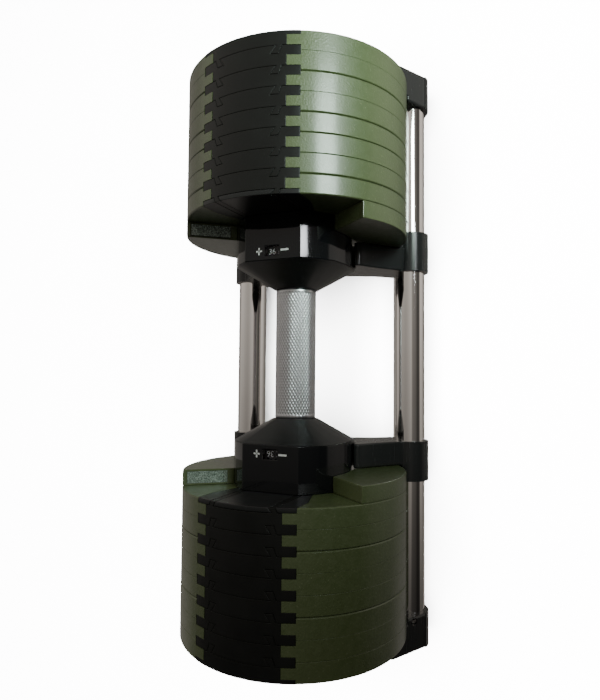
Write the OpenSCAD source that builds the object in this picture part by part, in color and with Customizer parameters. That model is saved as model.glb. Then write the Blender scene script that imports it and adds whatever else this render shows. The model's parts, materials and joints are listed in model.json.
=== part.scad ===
// Adjustable dumbbell resting in its storage cradle.
// Twisting the grip slides two half-round bars out through the plates on both sides.
// X runs along the dumbbell, -Y is the front, Z is up, and z = 0 is the floor.

/* [Plates] */
// Outer diameter of a weight plate
plate_d = 175; // [172:0.5:176]
// Distance from one plate to the next
plate_pitch = 13.9; // [13.7:0.05:14]
// Gap between neighbouring plates
plate_seam = 0.3; // [0.2:0.05:0.5]
// Chamfer around each plate's rim
plate_chamfer = 0.7; // [0.3:0.1:1]
// Radius of the hole that the bar slides through
plate_bore_r = 11; // [10.8:0.1:12]

/* [Interlocks] */
// Half width of an interlock block
block_half_w = 29; // [26:0.5:29]
// Half width over the tabs of an interlock block
tab_half_w = 37.8; // [37:0.1:38.4]
// Height of the interlock's lower end above the axis
interlock_z = 38; // [34:1:44]
// Clearance around each interlock block
interlock_gap = 0.2; // [0.1:0.05:0.3]

/* [Handle] */
// Outer radius of the knurled grip
grip_r = 16; // [15.5:0.1:16.5]
// Half length of the grip
grip_half = 50.7; // [50:0.1:50.7]
// Distance from the middle to the hub's rim
hub_x0 = 68; // [67:0.5:68]
// Distance from the middle to the first plate
hub_x1 = 102.6; // [102.4:0.1:103]
// Half height and half width of the hub
hub_half = 44.35; // [44.2:0.05:44.5]
// Wall thickness of the hub
hub_wall = 3; // [2.8:0.1:3.2]
// Inner face of the raised weights beside the hub
inner_weight_x0 = 90.5; // [90.3:0.1:92]

/* [Mechanism] */
// Radius of the half-round bars
bar_r = 10; // [9.6:0.1:10]
// Angle between two weight settings
click_angle = 40; // [40]
// Distance of the bar's follower pin from the middle, bar fully out
pin_x = 90; // [90]
// Downward travel of the safety lock pin
lock_travel = 4; // [3:0.5:4]

/* [Cradle] */
// Height of the dumbbell's axis above the floor
axis_h = 95; // [95:0.5:100]
// Outer radius of the cradle's two tubes
tube_r = 13; // [12:0.5:13.5]
// Angle of each tube from straight down, seen from the axis
tube_angle = 49; // [47:0.5:51]
// Wall of the brackets around the tubes
collar_wall = 3.2; // [3:0.1:4]
// Half length of the whole cradle
cradle_half = 238.2; // [235:0.1:245]

/* [Hidden] */
SIDES = ["left", "right"];
PLATES = 8;

$fn = 96;
eps = 0.01;
plate_r = plate_d / 2;
quarter = plate_pitch / 4;
end_x = hub_x1 + PLATES * plate_pitch;
end_wall_x = hub_x1 - hub_wall;
green = "darkolivegreen";
black = [0.08, 0.08, 0.09];

// drive: one turn step moves the bars by one plate
steps = PLATES;
stroke = steps * plate_pitch;
turn = steps * click_angle;
drive_r = 13.5;
drive_bore_r = bar_r + 0.3;
drive_half = 95.8;
slot_w = 6;
slot_over = 3.6;
bar_gap = 0.15;
bar_inner_x = pin_x - 15;
bar_outer_x = end_x - 1.2;
pin_r = 2;
pin_reach = 13.1;

// number ring and index wheel, side by side on the drive tube
dial_x0 = 71;
dial_x1 = 79.5;
window_half_w = 5.6;
dial_r = 39.6;
index_x0 = 73.6;
index_x1 = 81.2;
index_r = 36.5;
index_ring_r = 31;
tooth_w = 5.6;

// safety lock under each hub
lock_x = 87;
lock_r = 3;
lock_arm_z = -26.4;
lock_arm_h = 4;
lock_end_z = -44;
shelf_z = -16.8;
shelf_h = 2;
guide_r = -shelf_z - shelf_h - 0.3;
notch_r = lock_arm_h - lock_arm_z + lock_travel + 0.8;
post_r = 2;
post_z = -52;
spring_r = 4;
spring_wire_r = 0.5;
spring_turns = 5;

// how far an interlock block's ribs reach
rib_h = 5.6;

// inner weights: a straight wall leans away from the hub's side up to the rim
wall_angle = 55.5;
wall_lean = 50;
wall_top = plate_r * [sin(wall_angle), cos(wall_angle)];
wall_foot_y = hub_half - 6;
wall_foot_z = wall_top[1] - (wall_top[0] - wall_foot_y) / tan(wall_lean);
label_size = [31, 8.8];
label_from_rim = 3.6;
label_depth = 0.6;

// cradle
tube_d0 = plate_r + tube_r + 0.3;
tube_y = tube_d0 * sin(tube_angle);
tube_z = -tube_d0 * cos(tube_angle);
tube_bore_r = tube_r - 1.6;
collar_r = tube_r + collar_wall;
tube_half = cradle_half - 4.5;
seat_gap = 0.8;
foot_h = 3;
foot_r = 9;
foot_y = tube_y - 6;
bracket_z = foot_h - axis_h;
yoke_x0 = 71;
yoke_x1 = 90;
collar_x1 = 103.5;
end_bracket_x0 = end_x + 0.6;
end_collar_x0 = end_x - 2.8;
foot_xs = [(yoke_x0 + yoke_x1) / 2, (end_bracket_x0 + cradle_half) / 2];

// ---- placing -------------------------------------------------------------

// from the axis to the floor's frame, mirrored for the left side
module place(side = "right")
    translate([0, 0, axis_h]) mirror([side == "left" ? 1 : 0, 0, 0]) children();

// the same, but turned half round, for the pieces that pass each other in the drive tube
module place_turned(side)
    translate([0, 0, axis_h]) rotate([0, 0, side == "left" ? 180 : 0]) children();

// front and back copies
module both_y() { children(); mirror([0, 1, 0]) children(); }

// a round bar along X
module x_rod(r, x0, x1) translate([x0, 0, 0]) rotate([0, 90, 0]) cylinder(r = r, h = x1 - x0);

// an outline drawn in Y and Z, extruded along X
module x_prism(x0, x1)
    translate([x0, 0, 0]) rotate([90, 0, 90]) linear_extrude(height = x1 - x0) children();

// a profile drawn as [radius, x], turned about the X axis
module x_turned(points) rotate([0, 90, 0]) rotate_extrude() polygon(points);

// half of the hub's flat sides: [angle of the side's normal from straight up, its distance]
hub_sides = [[0, hub_half], [42, hub_half + 3.7], [53, hub_half + 3.25], [80, hub_half + 0.6],
             [90, hub_half], [100, hub_half + 0.6], [127, hub_half + 3.25],
             [138, hub_half + 3.7], [180, hub_half]];

// corner between two sides that have been moved outwards by grow
function corner(a, b, grow) =
    let (p = a[1] + grow, q = b[1] + grow)
    [p * cos(b[0]) - q * cos(a[0]), q * sin(a[0]) - p * sin(b[0])] / sin(a[0] - b[0]);

module hub_outline(grow = 0)
    polygon(whole([for (i = [0:len(hub_sides) - 2])
        corner(hub_sides[i], hub_sides[i + 1], grow)]));

// points of a curve from p to s that bends towards q
function bend(p, q, s, n = 8) =
    [for (i = [0:n]) let (t = i / n) (1 - t) * (1 - t) * p + 2 * t * (1 - t) * q + t * t * s];

// a closed outline from its half: the points go from the middle outwards and back
function whole(half) =
    concat(half, [for (i = [len(half) - 1:-1:0]) if (half[i][0] > 0) [-half[i][0], half[i][1]]]);

// ---- plates and interlocks -------------------------------------------------

module plate(i) {
    x0 = hub_x1 + (i - 1) * plate_pitch;
    x1 = x0 + plate_pitch - plate_seam;
    rim = plate_r - plate_chamfer;
    color(green) difference() {
        x_turned([[plate_bore_r, x0], [rim, x0], [plate_r, x0 + plate_chamfer],
                  [plate_r, x1 - plate_chamfer], [rim, x1], [plate_bore_r, x1]]);
        // slot for the interlock block
        translate([x0 - 1, -block_half_w, interlock_z])
            cube([plate_pitch + 2, 2 * block_half_w, plate_r]);
        // pockets for its own tabs and for those of the plate before it
        translate([x0 + plate_pitch - quarter, -tab_half_w, interlock_z])
            cube([quarter + 1, 2 * tab_half_w, plate_r]);
        if (i == 1) x_prism(x0 - 1, x0 + quarter) flange_outline(interlock_gap);
        else translate([x0 - 1, -tab_half_w, interlock_z])
            cube([quarter + 1, 2 * tab_half_w, plate_r]);
        block_screws(i, 0.05);
        // shallow dish in the outermost face
        if (i == PLATES)
            x_turned([[24, x1 - 1], [26, x1 - 1.2], [62, x1 - 1.2], [66, x1 + 1], [24, x1 + 1]]);
    }
}

// slanted ribs that widen towards their ends and hook into the block before
module dovetails(x, spread) both_y()
    polygon([[x + 0.2, 22.4 - spread], [x - rib_h - spread, 18.3 - spread],
             [x - rib_h - spread, 23.7 + spread], [x + 0.2, 25.8 + spread]]);

module interlock_block(i) {
    outer_face = hub_x1 + i * plate_pitch;
    x0 = outer_face - plate_pitch + quarter + interlock_gap / 2;
    x1 = outer_face + (i == PLATES ? -plate_seam : quarter - interlock_gap / 2);
    tab_x = outer_face - quarter + interlock_gap;
    w = block_half_w - interlock_gap;
    tab_w = tab_half_w - interlock_gap;
    intersection() {
        translate([0, 0, interlock_z + interlock_gap]) linear_extrude(height = plate_r)
            difference() {
                union() {
                    translate([x0, -w]) square([x1 - x0, 2 * w]);
                    translate([tab_x, -tab_w]) square([x1 - tab_x, 2 * tab_w]);
                    dovetails(x0, 0);
                }
                if (i < PLATES) dovetails(x1 + interlock_gap, 0.25);
            }
        x_rod(plate_r - 0.2, max(x0 - rib_h - 1, hub_x1 + interlock_gap / 2), x1 + 1);
    }
}

module interlocks() color(black) for (i = [1:PLATES]) difference() {
    interlock_block(i);
    block_screws(i, 0.05);
}

// countersunk screw along X, head towards +X at x; gap makes it the hole for that screw
module x_screw(x, length, r, head_r, gap = 0)
    x_turned([[0, x - length - gap], [r + gap, x - length - gap], [r + gap, x - head_r + r],
              [head_r + gap, x], [head_r + gap, x + 8 * gap], [0, x + 8 * gap]]);

// the two screws that hold an interlock block's tabs to its plate
module block_screws(i, gap = 0) both_y() {
    x = hub_x1 + i * plate_pitch + (i == PLATES ? -plate_seam : quarter) - 0.3;
    translate([0, 33.4, 60]) x_screw(x, i == PLATES ? 8 : 11.5, 1.5, 2.8, gap);
}

module interlock_screws()
    color("silver") for (s = SIDES) place(s) for (i = [1:PLATES]) block_screws(i);

// ---- hub and inner weights -------------------------------------------------

// black plate behind the hub that reaches up to the rim in the first plate's pocket
module flange_outline(gap)
    polygon([[-22 - gap, -27], [22 + gap, -27], [26 + gap, 20], [tab_half_w, interlock_z + 22],
             [tab_half_w, plate_r + 5], [-tab_half_w, plate_r + 5],
             [-tab_half_w, interlock_z + 22], [-26 - gap, 20]]);

flange_screw_yz = [[15, -20], [18, 28]];

module hub_flange() color(black) difference() {
    x1 = hub_x1 + quarter - interlock_gap / 2;
    intersection() {
        x_prism(hub_x1, x1) flange_outline(0);
        x_rod(plate_r - 0.2, hub_x1 - 1, x1 + 1);
    }
    x_rod(bar_r + 0.6, hub_x1 - 1, x1 + 1);
    translate([0, 0, interlock_z]) linear_extrude(height = plate_r)
        dovetails(x1 + interlock_gap, 0.25);
    both_y() for (p = flange_screw_yz) translate([0, p[0], p[1]]) x_screw(x1, 6, 1.7, 3.2);
}

module flange_screws()
    color("silver") for (s = SIDES) place(s) both_y() for (p = flange_screw_yz)
        translate([0, p[0], p[1]]) x_screw(hub_x1 + quarter - interlock_gap / 2, 6, 1.7, 3.2);

weight_screw_x = 95;
weight_screw_z = 3.6;

module hub_housing() color(black) difference() {
    union() {
        difference() {
            x_prism(hub_x0, hub_x1) hub_outline();
            x_prism(hub_x0 - 1, end_wall_x) hub_outline(-hub_wall);
        }
        // guide boss of the lock pin, and the shelf that its spring pushes against
        translate([lock_x, 0, -hub_half + 0.5]) cylinder(r = 5.2, h = 6.3);
        translate([lock_x - 5, -7, shelf_z]) cube([end_wall_x - lock_x + 6, 14, shelf_h]);
    }
    x_rod(bar_r + 0.6, end_wall_x - 1, hub_x1 + 1);
    translate([lock_x, 0, -hub_half - 1]) cylinder(r = lock_r + 0.05, h = 10);
    // window over the number ring
    translate([dial_x0 + 0.5, -window_half_w, hub_half * 0.7])
        cube([7, 2 * window_half_w, 20]);
    both_y() for (z = [-weight_screw_z, weight_screw_z])
        translate([weight_screw_x, 0, z]) rotate([-90, 0, 0]) cylinder(r = 2.5, h = 60);
    both_y() for (p = flange_screw_yz) translate([0, p[0], p[1]])
        x_rod(1.7, end_wall_x - 1, hub_x1 + 1);
}

module dial_windows() color("dimgray", 0.5) for (s = SIDES) place(s)
    translate([dial_x0 + 0.5, -window_half_w, hub_half - hub_wall + 0.2])
        cube([7, 2 * window_half_w, hub_wall - 0.4]);

cone_mouth_half = 16.2;
bushing_r = 15.6;
bushing_x = [52, 64];

module hub_cone() color(black) difference() {
    union() {
        // flat-sided cone between the rim and the grip
        translate([hub_x0, 0, 0]) mirror([1, 0, 0]) rotate([90, 0, 90])
            linear_extrude(height = hub_x0 - grip_half - 0.3, scale = cone_mouth_half / hub_half)
                hub_outline();
        // spigot inside the housing
        x_prism(hub_x0 - eps, hub_x0 + 2.5) hub_outline(-hub_wall - eps);
    }
    x_rod(drive_r + 0.3, grip_half - 1, hub_x0 + 5);
    x_rod(bushing_r, bushing_x[0], hub_x0 + 5);
    x_rod(34, bushing_x[1] + 0.5, hub_x0 + 5);
}

module bushing() color("peru") difference() {
    x_rod(bushing_r, bushing_x[0], bushing_x[1]);
    x_rod(drive_r + 0.05, bushing_x[0] - 1, bushing_x[1] + 1);
}

module guide_plate() color("silver") difference() {
    x_rod(guide_r, drive_half + 0.4, end_wall_x);
    difference() {
        x_rod(bar_r + 0.3, drive_half - 1, end_wall_x + 1);
        translate([0, bar_gap, -20]) cube([200, 20, 40]);
    }
}

// raised half-disc weight beside the hub
module inner_weight() difference() {
    intersection() {
        x_rod(plate_r, inner_weight_x0, hub_x1);
        x_prism(inner_weight_x0, hub_x1) difference() {
            polygon([wall_top, [wall_top[0] + 40, wall_top[1]], [wall_top[0] + 40, -plate_r],
                     [hub_half, -plate_r], [hub_half, 0], [wall_foot_y, 0],
                     [wall_foot_y, wall_foot_z]]);
            hub_outline();
        }
    }
    for (z = [-weight_screw_z, weight_screw_z]) translate([weight_screw_x, 0, z])
        rotate([-90, 0, 0]) cylinder(r = 2.5, h = 56);
}

// the back weight carries a panel
module inner_weights() color(green) {
    mirror([0, 1, 0]) inner_weight();
    difference() {
        inner_weight();
        label_space(0);
    }
}

// recess in the leaning wall; lift raises the panel's face out of the recess' floor
module label_space(lift) {
    x_mid = (inner_weight_x0 + hub_x1) / 2;
    along = label_from_rim + label_size[0];
    translate([x_mid, wall_top[0], wall_top[1]]) rotate([-wall_lean, 0, 0])
        translate([-label_size[1] / 2, -1 + lift, -along])
            cube([label_size[1], 1 + label_depth - lift, label_size[0]]);
}

module label_panels() color("silver") for (s = SIDES) place(s) label_space(0.8);

module weight_screws() color("silver") for (s = SIDES) place(s) both_y()
    for (z = [-weight_screw_z, weight_screw_z]) translate([weight_screw_x, 0, z])
        rotate([-90, 0, 0]) rotate_extrude()
            polygon([[0, hub_half - hub_wall - 3], [3.2, hub_half - hub_wall - 3],
                     [3.2, hub_half - hub_wall], [2.5, hub_half - hub_wall], [2.5, 56], [0, 56]]);

// ---- grip and drive --------------------------------------------------------

module grip_sleeve() color("gainsboro") place() difference() {
    x_rod(grip_r, -grip_half, grip_half);
    x_rod(drive_r, -grip_half - 1, grip_half + 1);
}

// helical slot that pushes a follower pin from pin_x to pin_x - stroke
module helical_slot() {
    rate = turn / stroke;
    length = stroke + 2 * slot_over;
    start_x = pin_x - stroke - slot_over;
    translate([start_x, 0, 0]) rotate([0, 90, 0])
        rotate([0, 0, -90 - rate * (stroke + slot_over)])
            linear_extrude(height = length, twist = -rate * length, slices = 72, $fn = 8)
                translate([drive_bore_r - 2, -slot_w / 2]) square([8, slot_w]);
}

module drive_tube() color("silver") place() difference() {
    x_rod(drive_r, -drive_half, drive_half);
    x_rod(drive_bore_r, -drive_half - 1, drive_half + 1);
    helical_slot();
    mirror([1, 0, 0]) rotate([180, 0, 0]) helical_slot();
}

module dial() color("ivory")
    x_turned([[drive_r, dial_x0], [dial_r, dial_x0], [dial_r, dial_x1], [dial_r - 2, dial_x1],
              [dial_r - 2, dial_x0 + 2], [drive_r, dial_x0 + 2]]);

module index_wheel() color("silver") difference() {
    x_turned([[drive_r, index_x0], [index_r, index_x0], [index_r, index_x1],
              [index_ring_r, index_x1], [index_ring_r, index_x0 + 2],
              [drive_r + 3.5, index_x0 + 2], [drive_r + 3.5, index_x1], [drive_r, index_x1]]);
    for (i = [0:steps]) rotate([i * click_angle, 0, 0])
        translate([index_x0 + 2, -tooth_w / 2 - 0.5, -notch_r])
            cube([20, tooth_w + 1, notch_r - index_ring_r + 2]);
}

// half-round bar in the front half of the drive tube
module shaft() color("silver") difference() {
    x_turned([[0, bar_inner_x], [bar_r, bar_inner_x], [bar_r, bar_outer_x - 2],
              [bar_r - 2, bar_outer_x], [0, bar_outer_x]]);
    translate([bar_inner_x - 1, -bar_gap, -20]) cube([200, 30, 40]);
    translate([pin_x, 0, 0]) rotate([90, 0, 0]) cylinder(r = pin_r, h = 20);
}

module follower_pin() color("dimgray")
    translate([pin_x, -bar_gap - 2, 0]) rotate([90, 0, 0])
        cylinder(r = pin_r, h = pin_reach - bar_gap - 2);

// ---- safety lock -------------------------------------------------------------

module lock_pin() color("silver") {
    translate([lock_x, 0, lock_end_z])
        cylinder(r = lock_r, h = lock_arm_z + 7 - lock_end_z);
    translate([index_x0 + 2.6, -tooth_w / 2, lock_arm_z - lock_arm_h])
        cube([lock_x - index_x0 - 2.6, tooth_w, lock_arm_h]);
    // collar that the spring stands on
    translate([lock_x, 0, lock_arm_z - 1]) cylinder(r = spring_r + 0.6, h = 1);
}

// compression spring between the lock pin's collar and the shelf: one tube along a helix
module lock_spring() {
    sides = 6;
    rings = 16 * spring_turns;
    rise = shelf_z - lock_arm_z - 2 * spring_wire_r;
    points = [for (i = [0:rings]) let (turned = i * 360 / 16, z = rise * i / rings)
        for (j = [0:sides - 1]) let (r = spring_r + spring_wire_r * cos(j * 360 / sides))
            [r * cos(turned), r * sin(turned), z + spring_wire_r * sin(j * 360 / sides)]];
    faces = concat(
        [[for (j = [0:sides - 1]) j], [for (j = [sides - 1:-1:0]) rings * sides + j]],
        [for (i = [0:rings - 1]) for (j = [0:sides - 1]) let (k = (j + 1) % sides)
            [i * sides + j, (i + 1) * sides + j, (i + 1) * sides + k, i * sides + k]]);
    color("gray") translate([lock_x, 0, lock_arm_z + spring_wire_r])
        polyhedron(points = points, faces = faces);
}

// ---- cradle --------------------------------------------------------------------

module tube_at(side) translate([0, side * tube_y, axis_h + tube_z]) difference() {
    x_rod(tube_r, -tube_half, tube_half);
    x_rod(tube_bore_r, -tube_half - 1, tube_half + 1);
}

module tube_front() color("lightgray") tube_at(-1);
module tube_back() color("lightgray") tube_at(1);

// round collars around both tubes, each on a foot that narrows downwards
module collars(x0, x1) both_y() {
    translate([0, tube_y, tube_z]) x_rod(collar_r, x0, x1);
    x_prism(x0, x1)
        polygon([[tube_y - collar_r, bracket_z], [foot_y + foot_r + 1, bracket_z],
                 [tube_y + collar_r * cos(26), tube_z - collar_r * sin(26)],
                 [tube_y, tube_z], [tube_y - collar_r, tube_z]]);
}

// flat cut that keeps the collars clear of the weights above them
module weight_room(x0, x1) both_y()
    translate([x0, tube_y, tube_z]) rotate([tube_angle, 0, 0])
        translate([0, -32, tube_r - 0.6]) cube([x1 - x0, 64, 40]);

module foot_recess(x)
    both_y() translate([x, foot_y, bracket_z - 1]) cylinder(r = foot_r, h = 2);

// bracket under the hub, with a seat that follows the hub's sides
module yoke() color(black) difference() {
    horn_top = [hub_half + 3.7, -14.5];
    union() {
        x_prism(yoke_x0, yoke_x1) difference() {
            polygon(whole(concat(
                [[0, horn_top[1]]],
                bend(horn_top, [59.5, -34], [tube_y, tube_z + collar_r - 1]),
                [[tube_y, tube_z], [tube_y - collar_r, bracket_z + 4]],
                bend([56, bracket_z + 8], [36, -61], [0, -58]))));
            hub_outline(seat_gap);
        }
        collars(yoke_x0, collar_x1);
    }
    both_y() translate([0, tube_y, tube_z]) x_rod(tube_r, yoke_x0 - 1, collar_x1 + 1);
    weight_room(yoke_x1, collar_x1 + 1);
    foot_recess(foot_xs[0]);
    both_y() clamp_hole(clamp_screws_at[0]);
    translate([lock_x, 0, post_z]) cylinder(r = post_r, h = 20);
}

// bracket that closes the cradle's end; its arms' flat sides touch the collars
side_angle = 61;

// point on an arm's flat side, up from where the side touches the collar
function arm_side(up) = [tube_y, tube_z] + collar_r * [sin(side_angle), cos(side_angle)]
    + up * [-cos(side_angle), sin(side_angle)];

module end_bracket(side) color(black) difference() {
    union() {
        x_prism(end_bracket_x0, cradle_half) polygon(whole(concat(
            bend([0, -52], [38, -52], [60, -38]),
            [[66, -25.5], arm_side(35), arm_side(-3), [tube_y, tube_z]],
            bend([56, bracket_z + 6], [40, -74], [0, -74]))));
        both_y() x_prism(end_collar_x0, end_bracket_x0 + 1)
            polygon([arm_side(24), arm_side(-3), [tube_y, tube_z]]);
        collars(end_collar_x0, cradle_half);
    }
    both_y() translate([0, tube_y, tube_z]) x_rod(tube_r, end_collar_x0 - 1, tube_half);
    weight_room(end_collar_x0 - 1, end_bracket_x0 + 0.2);
    foot_recess(foot_xs[1]);
    one_y(side) clamp_hole(clamp_screws_at[1]);
}

module rubber_feet() color([0.15, 0.15, 0.15]) for (s = SIDES) place(s) both_y()
    for (x = foot_xs) translate([x, foot_y, -axis_h]) cylinder(r = foot_r, h = foot_h + 1);

// slotted screws that hold the tubes: [x, tilt from straight up towards the outside]
clamp_screws_at = [[collar_x1 - 6, -110], [end_bracket_x0 - 0.2, 26]];

// the end brackets are one part turned half round, with a screw in one of its two collars
module one_y(side) mirror([0, side == "left" ? 1 : 0, 0]) children();

module clamp_hole(screw)
    translate([screw[0], tube_y, tube_z]) rotate([-screw[1], 0, 0])
        translate([0, 0, tube_r - 2]) cylinder(r = 2.75, h = 20);

module clamp_screw(screw)
    translate([screw[0], tube_y, tube_z]) rotate([-screw[1], 0, 0]) difference() {
        rotate_extrude() polygon([[0, tube_r], [2.7, tube_r], [2.7, collar_r + 0.6],
            [2.1, collar_r + 1.4], [0, collar_r + 1.7]]);
        translate([-5, -0.4, collar_r + 0.7]) cube([10, 0.8, 3]);
    }

module clamp_screws() color("silver") for (s = SIDES) place(s) {
    both_y() clamp_screw(clamp_screws_at[0]);
    one_y(s) clamp_screw(clamp_screws_at[1]);
}

// steel pins in the seats that push the safety locks up
module release_posts() color("silver") for (s = SIDES) place(s)
    translate([lock_x, 0, post_z]) cylinder(r = post_r, h = lock_end_z - 0.3 - post_z);

// ---- nodes ---------------------------------------------------------------------

for (s = SIDES) {
    for (i = [1:PLATES])
        place(s) plate(i);
    place(s) interlocks();
    place(s) inner_weights();
    place(s) hub_housing();
    place(s) hub_cone();
    place(s) hub_flange();
    place(s) bushing();
    place_turned(s) guide_plate();
    place(s) dial();
    place(s) index_wheel();
    place_turned(s) shaft();
    place_turned(s) follower_pin();
    place(s) lock_pin();
    place(s) lock_spring();
    place(s) end_bracket(s);
    place(s) yoke();
}
interlock_screws();
flange_screws();
weight_screws();
label_panels();
dial_windows();
grip_sleeve();
drive_tube();
tube_front();
tube_back();
clamp_screws();
rubber_feet();
release_posts();
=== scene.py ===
"""Looks of the adjustable dumbbell: everything is in metres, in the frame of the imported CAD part."""

import json
import math

import bmesh
import bpy
from mathutils import Matrix, Vector, noise


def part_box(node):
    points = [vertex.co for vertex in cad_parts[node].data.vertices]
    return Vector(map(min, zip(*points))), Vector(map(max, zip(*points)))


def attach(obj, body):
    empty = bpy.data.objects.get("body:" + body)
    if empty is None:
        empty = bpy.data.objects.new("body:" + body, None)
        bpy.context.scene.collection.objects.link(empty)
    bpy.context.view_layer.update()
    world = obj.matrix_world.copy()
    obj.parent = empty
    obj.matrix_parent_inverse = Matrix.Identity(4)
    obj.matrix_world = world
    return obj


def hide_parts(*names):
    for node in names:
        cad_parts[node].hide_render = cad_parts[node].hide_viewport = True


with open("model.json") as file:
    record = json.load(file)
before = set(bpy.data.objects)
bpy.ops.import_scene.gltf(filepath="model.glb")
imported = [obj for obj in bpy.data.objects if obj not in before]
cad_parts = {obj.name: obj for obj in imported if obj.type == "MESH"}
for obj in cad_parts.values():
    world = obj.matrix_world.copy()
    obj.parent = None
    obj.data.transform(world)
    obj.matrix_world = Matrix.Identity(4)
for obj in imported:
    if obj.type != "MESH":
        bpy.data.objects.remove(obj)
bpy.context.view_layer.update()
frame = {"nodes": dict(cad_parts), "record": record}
nodes = frame["nodes"]

MM = 0.001
SIDES = {"left": -1, "right": 1}

# ---- where things are, taken from the CAD nodes -------------------------------

grip_low, grip_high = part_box("grip_sleeve")
AXIS_Z = (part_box("dial_right")[0].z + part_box("dial_right")[1].z) / 2
GRIP_HALF = grip_high.x
GRIP_R = (grip_high.y - grip_low.y) / 2
GRIP_BORE_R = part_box("drive_tube")[1].y
DIAL_X0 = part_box("dial_right")[0].x
DIAL_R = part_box("dial_right")[1].y
HUB_X0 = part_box("hub_housing_right")[0].x
HUB_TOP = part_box("hub_housing_right")[1].z
CLICK_ANGLE = math.radians(40)
NUMBER_LEAN = math.radians(2.3)  # towards the back, so a number reads centred from the front


# ---- shaders -----------------------------------------------------------------

class Shader:
    """A material on one Principled shader, with short calls for the nodes before it."""

    def __init__(self, name, **constants):
        self.material = bpy.data.materials.new(name)
        self.material.use_nodes = True
        self.nodes = self.material.node_tree.nodes
        self.links = self.material.node_tree.links
        self.shader = self.nodes["Principled BSDF"]
        self.set(**constants)
        self.where = self.nodes.new("ShaderNodeTexCoord").outputs["Object"]

    def set(self, **constants):
        for key, value in constants.items():
            self.shader.inputs[key.replace("_", " ")].default_value = value

    def link(self, out, key):
        self.links.new(out, self.shader.inputs[key])

    def node(self, kind, wires=None, **settings):
        made = self.nodes.new("ShaderNode" + kind)
        for key, value in settings.items():
            setattr(made, key, value)
        for key, value in (wires or {}).items():
            if isinstance(value, bpy.types.NodeSocket):
                self.links.new(value, made.inputs[key])
            else:
                made.inputs[key].default_value = value
        return made

    def stretched(self, scale):
        return self.node("Mapping", {"Vector": self.where, "Scale": scale}).outputs[0]

    def noise(self, size, detail=3.0, roughness=0.55, stretch=None, seed=0.0):
        """Noise whose features are about size metres across."""
        where = self.stretched(stretch) if stretch else self.where
        moved = self.node("Mapping", {"Vector": where, "Location": (seed, seed, seed)}).outputs[0]
        return self.node("TexNoise", {"Vector": moved, "Scale": 1 / size, "Detail": detail,
                                      "Roughness": roughness}).outputs["Fac"]

    def ramp(self, fac, *stops):
        """Colours or grey values between the stops, each (position, value)."""
        made = self.node("ValToRGB", {"Fac": fac})
        elements = made.color_ramp.elements
        while len(elements) < len(stops):
            elements.new(0.5)
        for element, (position, value) in zip(elements, stops):
            element.position = position
            colour = value if isinstance(value, (tuple, list)) else (value, value, value)
            element.color = (*colour, 1)
        return made.outputs["Color"]

    def mix(self, fac, first, second):
        made = self.node("Mix", data_type="RGBA")
        for key, value in ((0, fac), (6, first), (7, second)):
            if isinstance(value, bpy.types.NodeSocket):
                self.links.new(value, made.inputs[key])
            else:
                made.inputs[key].default_value = value if key == 0 else (*value, 1)
        return made.outputs[2]

    def maths(self, operation, *values):
        made = self.node("Math", operation=operation)
        for i, value in enumerate(values):
            if isinstance(value, bpy.types.NodeSocket):
                self.links.new(value, made.inputs[i])
            else:
                made.inputs[i].default_value = value
        return made.outputs[0]

    def bump(self, height, depth, strength=1.0, before=None):
        """Bump of depth metres; before is the normal of a coarser bump under it."""
        wires = {"Height": height, "Distance": depth, "Strength": strength}
        if before:
            wires["Normal"] = before
        return self.node("Bump", wires).outputs[0]


def green_paint():
    s = Shader("green_paint", Metallic=0.0, Coat_Weight=0.6, Coat_Roughness=0.2,
               Coat_IOR=1.5, IOR=1.5)
    broad = s.noise(0.05, 4, 0.6)
    mottle = s.noise(0.004, 3, 0.6, seed=3)
    base = s.mix(broad, (0.070, 0.098, 0.034), (0.092, 0.124, 0.045))
    tone = s.mix(s.ramp(mottle, (0.35, 0.0), (0.7, 0.35)), base, (0.115, 0.147, 0.064))
    # Pale specks mixed into the base colour are a painted sparkle: painted glints of light in the paint, the
    # same under any lamp.
    painted_sparkle = s.ramp(s.noise(0.0011, 2, 0.5, seed=8), (0.66, 0.0), (0.74, 0.5))
    s.link(s.mix(painted_sparkle, tone, (0.24, 0.28, 0.16)), "Base Color")
    s.link(s.ramp(mottle, (0.3, 0.36), (0.75, 0.5)), "Roughness")
    peel = s.bump(s.noise(0.0012, 2, 0.5, seed=5), 0.00026)
    s.link(s.bump(s.noise(0.012, 2, 0.5, seed=6), 0.00012, before=peel), "Normal")
    return s.material


def black_satin():
    s = Shader("black_satin", IOR=1.38)
    grain = s.noise(0.0007, 3, 0.6)
    cloud = s.noise(0.02, 3, 0.6, seed=2)
    s.link(s.mix(cloud, (0.006, 0.0065, 0.006), (0.011, 0.012, 0.011)), "Base Color")
    s.link(s.ramp(cloud, (0.3, 0.3), (0.75, 0.42)), "Roughness")
    s.link(s.bump(grain, 0.00005), "Normal")
    return s.material


def scratched_black(name, colour, rough, scratch, mould):
    """Glossy black with fine scratches and a faint mould grain."""
    s = Shader(name, IOR=1.42)
    cloud = s.noise(0.03, 3, 0.6, seed=1)
    lines = s.noise(0.0022, 4, 0.7, stretch=(0.12, 1.6, 1.6), seed=4)
    fine = s.ramp(lines, (0.62, 0.0), (0.7, 1.0))
    light = tuple(2.2 * c for c in colour)
    s.link(s.mix(s.maths("MULTIPLY", fine, scratch), colour, light), "Base Color")
    smudge = s.maths("MULTIPLY", s.ramp(cloud, (0.4, 0.0), (0.8, 1.0)), 0.08)
    s.link(s.maths("ADD", s.maths("MULTIPLY", fine, 0.1), s.maths("ADD", smudge, rough)), "Roughness")
    s.link(s.bump(s.noise(0.0009, 2, 0.5, seed=7), mould), "Normal")
    return s.material


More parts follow.
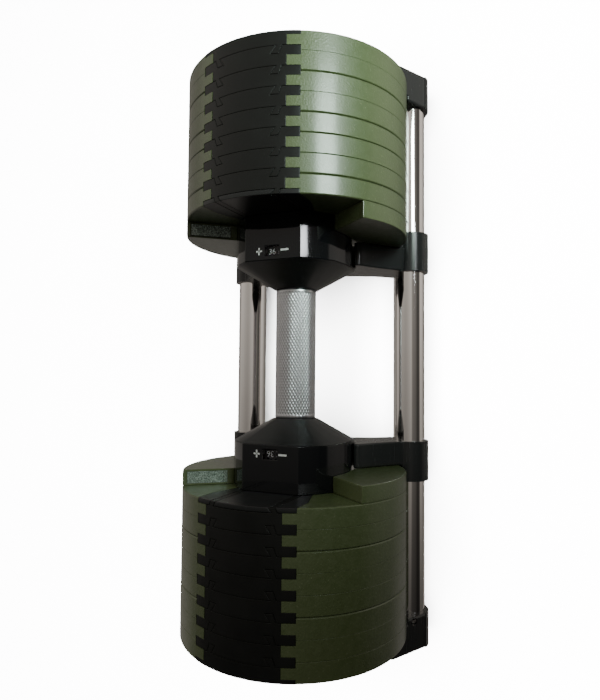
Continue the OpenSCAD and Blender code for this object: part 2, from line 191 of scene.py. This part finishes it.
def chrome(name):
    s = Shader(name, Metallic=1.0)
    cloud = s.noise(0.05, 3, 0.6)
    s.link(s.mix(cloud, (0.76, 0.73, 0.70), (0.86, 0.84, 0.82)), "Base Color")
    hair = s.noise(0.0009, 3, 0.6, stretch=(0.03, 1, 1), seed=2)
    s.link(s.ramp(hair, (0.4, 0.045), (0.8, 0.14)), "Roughness")
    s.link(s.bump(s.noise(0.03, 2, 0.4, stretch=(0.3, 1, 1), seed=5), 0.00002), "Normal")
    return s.material


def knurled_steel():
    s = Shader("knurled_steel", Metallic=1.0)
    cloud = s.noise(0.008, 3, 0.6)
    s.link(s.mix(cloud, (0.44, 0.45, 0.47), (0.58, 0.59, 0.61)), "Base Color")
    s.link(s.ramp(s.noise(0.001, 3, 0.6, seed=3), (0.3, 0.26), (0.8, 0.42)), "Roughness")
    s.link(s.bump(s.noise(0.0004, 2, 0.5, seed=6), 0.00001), "Normal")
    return s.material


def turned_steel(name, first, second, rough, lines=0.0004):
    """Machined metal with fine tool marks across the dumbbell's axis."""
    s = Shader(name, Metallic=1.0)
    marks = s.noise(lines, 3, 0.6, stretch=(1, 0.05, 0.05))
    s.link(s.mix(s.noise(0.006, 3, 0.6, seed=2), first, second), "Base Color")
    s.link(s.ramp(marks, (0.3, rough), (0.75, rough + 0.16)), "Roughness")
    s.link(s.bump(marks, 0.00002), "Normal")
    return s.material


def dial_black():
    s = Shader("dial_black", IOR=1.5)
    s.link(s.mix(s.noise(0.004, 3, 0.6), (0.010, 0.010, 0.011), (0.022, 0.022, 0.024)), "Base Color")
    s.link(s.ramp(s.noise(0.0008, 2, 0.6, seed=2), (0.3, 0.42), (0.8, 0.6)), "Roughness")
    s.link(s.bump(s.noise(0.0005, 2, 0.5, seed=3), 0.00003), "Normal")
    return s.material


def white_print():
    s = Shader("white_print", IOR=1.5, Roughness=0.5)
    worn = s.ramp(s.noise(0.0006, 3, 0.6), (0.3, (0.62, 0.63, 0.62)), (0.55, (0.82, 0.83, 0.82)))
    s.link(worn, "Base Color")
    s.link(s.bump(s.noise(0.0004, 2, 0.5, seed=2), 0.00001), "Normal")
    return s.material


def clear_window():
    s = Shader("clear_window", IOR=1.2, Transmission_Weight=1.0)
    s.link(s.mix(s.noise(0.004, 2, 0.5), (0.93, 0.95, 0.96), (0.98, 0.99, 1.0)), "Base Color")
    s.link(s.ramp(s.noise(0.001, 3, 0.6, seed=2), (0.4, 0.0), (0.8, 0.06)), "Roughness")
    return s.material


def label_silver():
    s = Shader("label_silver", Metallic=0.45, IOR=1.5)
    speck = s.noise(0.0009, 3, 0.65)
    s.link(s.ramp(speck, (0.36, (0.08, 0.11, 0.09)), (0.52, (0.26, 0.33, 0.28)),
                  (0.68, (0.60, 0.68, 0.64))), "Base Color")
    s.link(s.ramp(speck, (0.35, 0.5), (0.7, 0.24)), "Roughness")
    s.link(s.bump(s.noise(0.0005, 2, 0.6, seed=4), 0.0001), "Normal")
    return s.material


def rubber_foot():
    s = Shader("rubber_foot", IOR=1.45)
    s.link(s.mix(s.noise(0.003, 3, 0.6), (0.012, 0.012, 0.012), (0.03, 0.03, 0.029)), "Base Color")
    s.link(s.ramp(s.noise(0.001, 3, 0.6, seed=2), (0.3, 0.7), (0.8, 0.92)), "Roughness")
    s.link(s.bump(s.noise(0.0006, 3, 0.6, seed=3), 0.00008), "Normal")
    return s.material


MATERIALS = {
    "green_paint": green_paint(),
    "black_satin": black_satin(),
    "black_hub": scratched_black("black_hub", (0.0065, 0.007, 0.008), 0.03, 0.5, 0.000004),
    "black_bracket": scratched_black("black_bracket", (0.021, 0.022, 0.0225), 0.2, 0.7, 0.00002),
    "knurled_steel": knurled_steel(),
    "chrome_tube": chrome("chrome_tube"),
    "chrome_screw": chrome("chrome_screw"),
    "machined_steel": turned_steel("machined_steel", (0.40, 0.40, 0.41), (0.55, 0.55, 0.56), 0.24),
    "spring_steel": turned_steel("spring_steel", (0.25, 0.25, 0.27), (0.38, 0.38, 0.40), 0.3, 0.0002),
    "screw_steel": turned_steel("screw_steel", (0.48, 0.47, 0.44), (0.62, 0.61, 0.58), 0.26, 0.0002),
    "bronze": turned_steel("bronze", (0.42, 0.25, 0.10), (0.56, 0.36, 0.16), 0.34),
    "dial_black": dial_black(),
    "clear_window": clear_window(),
    "label_silver": label_silver(),
    "rubber_foot": rubber_foot(),
}
WHITE_PRINT = white_print()
DULL_BLACK = scratched_black("dull_black", (0.016, 0.0172, 0.0176), 0.28, 0.5, 0.00001)
SLOT_OF = {row["node"]: row["material_slot"] for row in frame["record"]["subparts"]}
BODY_OF = {node: body for body, members in frame["record"]["behaviour"]["bodies"].items()
           for node in members}

for name, obj in nodes.items():
    obj.data.materials.clear()
    obj.data.materials.append(MATERIALS[SLOT_OF[name]])


# ---- making pieces ---------------------------------------------------------------

def shade(mesh, angle):
    mesh.shade_smooth()
    mesh.set_sharp_from_angle(angle=math.radians(angle))


def piece(name, mesh, body, slot, material=None, angle=30):
    """A new object on a CAD body, with the slot's material unless another is given."""
    mesh.materials.clear()
    mesh.materials.append(material or MATERIALS[slot])
    shade(mesh, angle)
    obj = bpy.data.objects.new(name, mesh)
    bpy.context.scene.collection.objects.link(obj)
    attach(obj, body)
    return obj


def mesh_from(name, verts, faces):
    mesh = bpy.data.meshes.new(name)
    mesh.from_pydata(verts, [], faces)
    mesh.validate()
    mesh.update()
    return mesh


def clean_copy(node):
    """The CAD node's mesh as a bmesh with shared corners and whole flat faces."""
    bm = bmesh.new()
    bm.from_mesh(nodes[node].data)
    bmesh.ops.remove_doubles(bm, verts=bm.verts, dist=2e-6)
    bmesh.ops.dissolve_limit(bm, angle_limit=math.radians(0.6), verts=bm.verts, edges=bm.edges,
                             use_dissolve_boundaries=False)
    bmesh.ops.recalc_face_normals(bm, faces=bm.faces)
    return bm


def is_sharp(edge, angle):
    return len(edge.link_faces) == 2 and edge.calc_face_angle(0) > math.radians(angle)


def softened(node, width, segments=2, keep=None, first=None, material=None):
    """A copy of a CAD node whose sharp edges are rounded by width, shown in its place."""
    bm = clean_copy(node)
    if first:
        first(bm)
    edges = [e for e in bm.edges if is_sharp(e, 28) and (keep is None or keep(e))]
    bmesh.ops.bevel(bm, geom=edges, offset=width, offset_type="OFFSET", segments=segments,
                    profile=0.5, affect="EDGES", clamp_overlap=False, loop_slide=True)
    bmesh.ops.remove_doubles(bm, verts=bm.verts, dist=1e-6)
    mesh = bpy.data.meshes.new(node + "_soft")
    bm.to_mesh(mesh)
    bm.free()
    mesh.validate()
    obj = piece(node + "_soft", mesh, BODY_OF[node], SLOT_OF[node], material)
    flat = obj.modifiers.new("flat_faces", "WEIGHTED_NORMAL")
    flat.keep_sharp = True
    flat.weight = 100
    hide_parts(node)
    return obj


# ---- knurled grip ------------------------------------------------------------------

def knurled_grip():
    """Two crossing helical grooves cut the sleeve into diamonds between two plain ends."""
    around, starts, depth = 320, 40, 0.44 * MM
    plain, chamfer = 2.2 * MM, 0.5 * MM
    lead = 2 * math.pi * GRIP_R / math.tan(math.radians(30))
    knurl_half = GRIP_HALF - plain
    step = 0.42 * MM
    rows = [(-GRIP_HALF, GRIP_BORE_R), (-GRIP_HALF, GRIP_R - chamfer), (-GRIP_HALF + chamfer, GRIP_R),
            (-knurl_half - 0.3 * MM, GRIP_R)]
    count = round(2 * knurl_half / step)
    rows += [(-knurl_half + 2 * knurl_half * i / count, None) for i in range(count + 1)]
    rows += [(-x, r) for x, r in reversed(rows[:4])]
    verts, faces = [], []
    for x, radius in rows:
        for j in range(around):
            turned = 2 * math.pi * j / around
            r = radius
            if r is None:
                one = abs((starts * (turned + 2 * math.pi * x / lead) / (2 * math.pi)) % 1 - 0.5) * 2
                two = abs((starts * (turned - 2 * math.pi * x / lead) / (2 * math.pi)) % 1 - 0.5) * 2
                fade = min(1.0, (knurl_half - abs(x)) / (0.8 * MM))
                r = GRIP_R - depth * fade * (1 - min(1.0, 1.9 * min(one, two)))
            verts.append((x, r * math.sin(turned), AXIS_Z + r * math.cos(turned)))
    last = len(rows)
    for i in range(last):
        k = (i + 1) % last
        for j in range(around):
            n = (j + 1) % around
            faces.append((i * around + j, k * around + j, k * around + n, i * around + n))
    mesh = mesh_from("knurled_grip", verts, faces)
    bm = bmesh.new()
    bm.from_mesh(mesh)
    bmesh.ops.recalc_face_normals(bm, faces=bm.faces)
    bm.to_mesh(mesh)
    bm.free()
    obj = piece("knurled_grip", mesh, "grip", "knurled_steel", angle=50)
    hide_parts("grip_sleeve")


knurled_grip()


# ---- numbers on the dials and marks on the hubs --------------------------------------

def glyph_mesh(text, height, thickness):
    """A flat closed mesh of the text, centred, in X and Y, standing thickness high."""
    curve = bpy.data.curves.new("glyphs", "FONT")
    curve.body = text
    curve.align_x = "CENTER"
    curve.align_y = "CENTER"
    curve.size = height / 0.7
    curve.extrude = thickness / 2
    curve.resolution_u = 6
    obj = bpy.data.objects.new("glyphs", curve)
    bpy.context.scene.collection.objects.link(obj)
    bpy.context.view_layer.update()
    mesh = bpy.data.meshes.new_from_object(obj.evaluated_get(bpy.context.evaluated_depsgraph_get()))
    bpy.data.objects.remove(obj)
    xs = [v.co.x for v in mesh.vertices]
    ys = [v.co.y for v in mesh.vertices]
    mesh.transform(Matrix.Translation((-(min(xs) + max(xs)) / 2, -(min(ys) + max(ys)) / 2, 0)))
    return mesh


def dial_numbers(side):
    """The nine settings around the drum, tops towards the dumbbell's end."""
    sign = SIDES[side]
    x_mid = DIAL_X0 + 4 * MM
    bm = bmesh.new()
    for k in range(9):
        mesh = glyph_mesh(str(36 - 4 * k), 4.3 * MM, 0.12 * MM)
        for v in mesh.vertices:
            u, w, h = v.co
            turned = -sign * u / DIAL_R + k * CLICK_ANGLE + NUMBER_LEAN
            r = DIAL_R + 0.04 * MM + h
            v.co = (sign * (x_mid + w), r * math.sin(turned), AXIS_Z + r * math.cos(turned))
        bm.from_mesh(mesh)
        bpy.data.meshes.remove(mesh)
    bmesh.ops.recalc_face_normals(bm, faces=bm.faces)
    out = bpy.data.meshes.new(f"dial_numbers_{side}")
    bm.to_mesh(out)
    bm.free()
    piece(f"dial_numbers_{side}", out, "grip", "dial_black", WHITE_PRINT)


def flat_strokes(name, side, strokes):
    """Thin printed bars on a hub's top face: each stroke is (x, y, length x, length y)."""
    bm = bmesh.new()
    low, high = HUB_TOP - 0.02 * MM, HUB_TOP + 0.05 * MM
    for x, y, dx, dy in strokes:
        made = bmesh.ops.create_cube(bm, size=1)["verts"]
        size = Matrix.Diagonal((dx, dy, high - low, 1))
        place = Matrix.Translation((SIDES[side] * x, y, (low + high) / 2))
        bmesh.ops.transform(bm, matrix=place @ size, verts=made)
    bmesh.ops.bevel(bm, geom=[e for e in bm.edges if abs(e.verts[0].co.z - e.verts[1].co.z) > 1e-6],
                    offset=0.25 * MM, segments=3, affect="EDGES", profile=0.5)
    mesh = bpy.data.meshes.new(name)
    bm.to_mesh(mesh)
    bm.free()
    piece(name, mesh, "dumbbell", "black_hub", WHITE_PRINT)


MARK_X = HUB_X0 + 6.8 * MM
for side in SIDES:
    dial_numbers(side)
    plus_y, minus_y = 10.6 * MM, -10.4 * MM
    flat_strokes(f"plus_mark_{side}", side, [(MARK_X, plus_y, 5.6 * MM, 1.2 * MM),
                                             (MARK_X, plus_y, 1.25 * MM, 5 * MM)])
    flat_strokes(f"minus_mark_{side}", side, [(MARK_X, minus_y, 1.4 * MM, 6.6 * MM)])


# ---- rounded copies of the CAD shapes ---------------------------------------------------

# how far each seam between two plates is open, from the hub outwards: 1 as in CAD, 0 closed
SEAMS = {"right": (1, 0.35, 0.7, 0.9, 0.1, 0.9, 0.05), "left": (0.1, 1, 0.0, 0.15, 1, 0.05, 0.2)}


def press_together(side, i):
    """Plates that were painted and then pressed together show a finer seam: a smaller chamfer."""
    opened = (1, *SEAMS[side], 1)
    low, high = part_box(f"plate_{side}_{i}")
    edge, seam, rim = 0.7 * MM, 0.3 * MM, high.y

    def moved(bm):
        for v in bm.verts:
            r = math.hypot(v.co.y, v.co.z - AXIS_Z)
            for face_x, way, share in ((low.x, 1, opened[i - 1 if side == "right" else i]),
                                       (high.x, -1, opened[i if side == "right" else i - 1])):
                deep = (v.co.x - face_x) * way
                if share == 1 or deep > 1.02 * edge:
                    continue
                size = edge * (0.15 + 0.85 * share)
                shut = 0.42 * seam * (1 - share)
                v.co.x = face_x + way * (deep * size / edge - shut)
                if r > rim - 1.02 * edge:
                    grown = (rim - (rim - r) * size / edge) / r
                    v.co.y *= grown
                    v.co.z = AXIS_Z + (v.co.z - AXIS_Z) * grown

    return moved


def long_enough(edge):
    """Short edges belong to rounded stretches, which stay as they are."""
    return edge.calc_length() > 3 * MM


for side in SIDES:
    for i in range(1, 9):
        softened(f"plate_{side}_{i}", 0.09 * MM, first=press_together(side, i))
    softened(f"interlocks_{side}", 0.3 * MM)
    softened(f"inner_weights_{side}", 0.8 * MM)
    softened(f"hub_flange_{side}", 0.5 * MM, material=DULL_BLACK)
    softened(f"hub_housing_{side}", 0.7 * MM, keep=long_enough)
    softened(f"hub_cone_{side}", 0.5 * MM, keep=long_enough, material=DULL_BLACK)
    softened(f"yoke_{side}", 1.4 * MM, segments=3, keep=long_enough)
    softened(f"end_bracket_{side}", 1.8 * MM, segments=3, keep=long_enough)


# ---- stippled panels in the leaning walls ------------------------------------------------

def stippled_panels():
    """Each panel's face becomes a fine grid of cast-in pits and grains."""
    bm = clean_copy("label_panels")
    for face in [f for f in bm.faces if len(f.verts) == 4 and f.calc_area() > 2e-4 and f.normal.z > 0.2]:
        corners = [v.co.copy() for v in face.verts]
        normal = face.normal.copy()
        bm.faces.remove(face)
        long_u = (corners[1] - corners[0]).length > (corners[2] - corners[1]).length
        cuts_u, cuts_v = (90, 22) if long_u else (22, 90)
        grid = []
        for i in range(cuts_u + 1):
            for j in range(cuts_v + 1):
                a, b = i / cuts_u, j / cuts_v
                p = ((1 - a) * (1 - b) * corners[0] + a * (1 - b) * corners[1]
                     + a * b * corners[2] + (1 - a) * b * corners[3])
                inside = 0 < i < cuts_u and 0 < j < cuts_v
                lift = noise.noise(p * 1500) * 0.28 * MM + 0.05 * MM if inside else 0.0
                grid.append(bm.verts.new(p + lift * normal))
        for i in range(cuts_u):
            for j in range(cuts_v):
                k = i * (cuts_v + 1) + j
                bm.faces.new((grid[k], grid[k + cuts_v + 1], grid[k + cuts_v + 2], grid[k + 1]))
    bmesh.ops.remove_doubles(bm, verts=bm.verts, dist=1e-7)
    mesh = bpy.data.meshes.new("stippled_panels")
    bm.to_mesh(mesh)
    bm.free()
    obj = piece("stippled_panels", mesh, "dumbbell", "label_silver", angle=80)
    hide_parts("label_panels")


stippled_panels()


# ---- stage, light and camera ----------------------------------------------------------------

def stage_material():
    s = Shader("pale_floor", Roughness=0.9, IOR=1.3)
    s.link(s.mix(s.noise(0.4, 3, 0.5), (0.86, 0.86, 0.86), (0.9, 0.9, 0.9)), "Base Color")
    return s.material


def floor():
    half = 6.0
    mesh = mesh_from("floor", [(-half, -half, 0), (half, -half, 0), (half, half, 0), (-half, half, 0)],
                     [(0, 1, 2, 3)])
    mesh.materials.append(stage_material())
    obj = bpy.data.objects.new("floor", mesh)
    obj.visible_glossy = False
    obj.visible_diffuse = False
    bpy.context.scene.collection.objects.link(obj)
    return obj


def area_light(name, place, target, size, watts, colour=(1, 1, 1), spread=180):
    light = bpy.data.lights.new(name, "AREA")
    light.shape = "RECTANGLE"
    light.size, light.size_y = size
    light.energy = watts
    light.color = colour
    light.spread = math.radians(spread)
    obj = bpy.data.objects.new(name, light)
    obj.location = place
    obj.rotation_euler = (Vector(target) - Vector(place)).to_track_quat("-Z", "Y").to_euler()
    obj.visible_camera = False
    bpy.context.scene.collection.objects.link(obj)
    return obj


def only_on(light, obj):
    """The light falls on obj alone, so the floor can be paler than the object's own light makes it."""
    group = bpy.data.collections.new(light.name + "_falls_on")
    group.objects.link(obj)
    light.light_linking.receiver_collection = group


def world_light():
    """A soft room: pale walls behind and above, darker in front and towards the -X end."""
    world = bpy.data.worlds.new("room")
    world.use_nodes = True
    tree = world.node_tree

    def link(out, to):
        tree.links.new(out, to)

    def ramp(value, stops):
        made = tree.nodes.new("ShaderNodeValToRGB")
        while len(made.color_ramp.elements) < len(stops):
            made.color_ramp.elements.new(0.5)
        for element, (position, grey) in zip(made.color_ramp.elements, stops):
            element.position = position
            element.color = (grey, 0.93 * grey, 0.85 * grey, 1)
        link(value, made.inputs["Fac"])
        return made.outputs["Color"]

    def remap(value, low, high):
        made = tree.nodes.new("ShaderNodeMapRange")
        made.interpolation_type = "SMOOTHSTEP"
        made.inputs["From Min"].default_value = low
        made.inputs["From Max"].default_value = high
        link(value, made.inputs["Value"])
        return made.outputs["Result"]

    split = tree.nodes.new("ShaderNodeSeparateXYZ")
    link(tree.nodes.new("ShaderNodeTexCoord").outputs["Generated"], split.inputs[0])
    height = tree.nodes.new("ShaderNodeMapRange")
    height.inputs["From Min"].default_value = -1
    link(split.outputs["Z"], height.inputs["Value"])
    front = ramp(height.outputs["Result"], ((0.0, 0.10), (0.22, 0.55), (0.38, 0.6), (0.44, 0.08),
                                            (0.60, 0.06), (0.70, 0.14), (0.88, 0.2), (0.93, 0.5),
                                            (1.0, 0.4)))
    back = ramp(height.outputs["Result"], ((0.0, 0.22), (0.47, 0.32), (0.54, 0.50), (0.8, 0.44),
                                           (1.0, 0.32)))
    mix = tree.nodes.new("ShaderNodeMix")
    mix.data_type = "RGBA"
    link(remap(split.outputs["Y"], -0.35, 0.25), mix.inputs[0])
    link(front, mix.inputs[6])
    link(back, mix.inputs[7])
    along = remap(split.outputs["X"], -0.45, 0.3)
    along.node.inputs["To Min"].default_value = 0.12
    along.node.inputs["To Max"].default_value = 1.35
    fading = tree.nodes.new("ShaderNodeMath")
    fading.operation = "MAXIMUM"
    link(remap(split.outputs["Z"], -0.15, 0.05), fading.inputs[0])
    link(remap(split.outputs["Y"], -0.35, -0.7), fading.inputs[1])
    strength = tree.nodes.new("ShaderNodeMix")
    strength.inputs[2].default_value = 1.0
    link(fading.outputs[0], strength.inputs[0])
    link(along, strength.inputs[3])
    link(mix.outputs[2], tree.nodes["Background"].inputs["Color"])
    link(strength.outputs[0], tree.nodes["Background"].inputs["Strength"])
    bpy.context.scene.world = world


ground = floor()
world_light()
area_light("key", (0.37, -0.51, 0.51), (0.26, -0.03, 0.14), (0.22, 0.2), 0.86, (0.80, 0.99, 0.90), 64)
area_light("window", (0.37, -1.12, 0.76), (0.08, -0.028, 0.134), (0.115, 0.13), 0.042, (0.93, 0.96, 1.0), 26)
only_on(area_light("floor_light", (0.0, -0.3, 2.6), (0, 0, 0), (2.5, 2.5), 1500), ground)


def camera():
    """Above the dumbbell and a little in front; the picture's up is +X."""
    tilt = math.radians(24.5)
    distance, along = 0.46, -0.0172
    yaw, pitch, roll = -0.0074, -0.0443, 0.0086
    right = Vector((0, -math.cos(tilt), -math.sin(tilt)))
    down = Vector((-1, 0, 0))
    ahead = Vector((0, math.sin(tilt), -math.cos(tilt)))
    small = (Matrix.Rotation(roll, 3, "Z") @ Matrix.Rotation(pitch, 3, "X")
             @ Matrix.Rotation(yaw, 3, "Y"))
    axes = [row[0] * right + row[1] * down + row[2] * ahead for row in small]
    data = bpy.data.cameras.new("camera")
    data.sensor_width = 36
    data.lens = 29.47
    data.clip_start = 0.01
    obj = bpy.data.objects.new("camera", data)
    place = Vector((along, 0, AXIS_Z)) - distance * ahead
    obj.matrix_world = Matrix(((axes[0].x, -axes[1].x, -axes[2].x, place.x),
                               (axes[0].y, -axes[1].y, -axes[2].y, place.y),
                               (axes[0].z, -axes[1].z, -axes[2].z, place.z),
                               (0, 0, 0, 1)))
    bpy.context.scene.collection.objects.link(obj)
    bpy.context.scene.camera = obj


camera()
